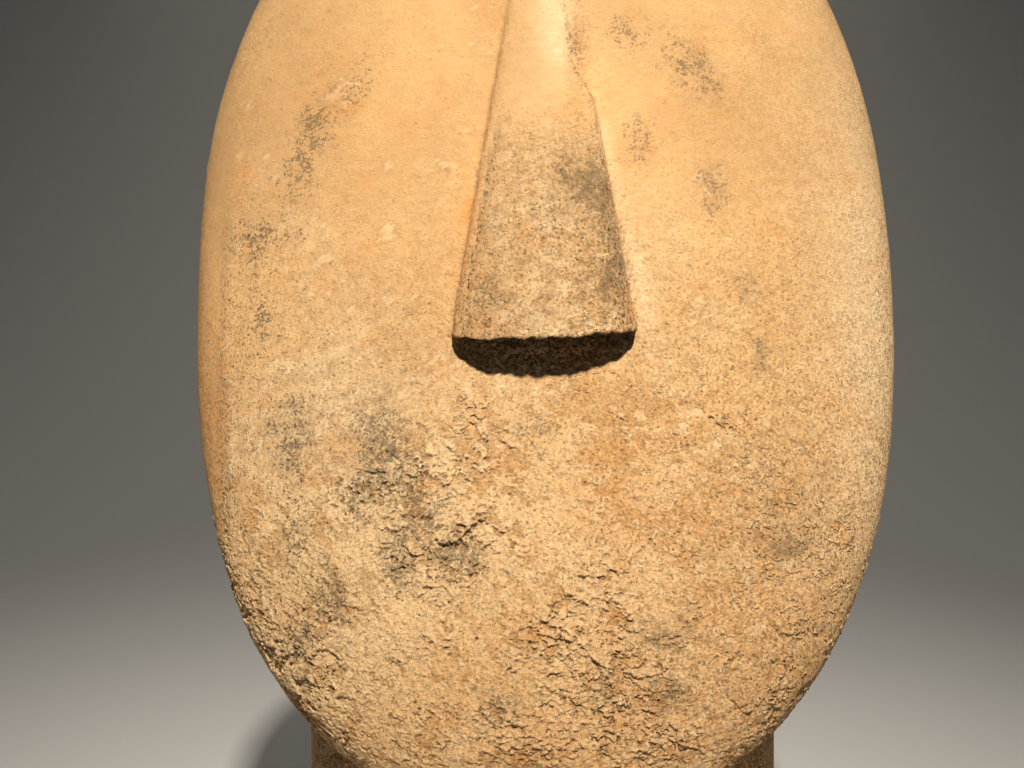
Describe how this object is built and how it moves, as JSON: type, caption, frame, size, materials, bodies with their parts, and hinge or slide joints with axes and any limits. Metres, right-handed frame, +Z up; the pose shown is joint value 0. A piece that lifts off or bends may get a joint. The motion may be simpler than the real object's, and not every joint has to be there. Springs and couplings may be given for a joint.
{
  "type": "cycladic figurine",
  "caption": "Large carved marble idol's head on its neck: a blank egg-shaped face that leans back, with a long wedge nose as its only feature, cut flat beneath the neck to stand.",
  "frame": {"origin": "centre of the flat underside of the neck, where it rests", "axes": "+Z up, the face towards -Y, +X to the right of a viewer who faces it"},
  "size_m": [0.145, 0.0942, 0.258],
  "materials": {
    "marble": "golden-tan weathered coarse-grained marble, matt, with a pale flaky lime crust over the lower face and grey-green patches"
  },
  "bodies": {
    "root": {"marble_head": "marble"}
  },
  "joints": []
}
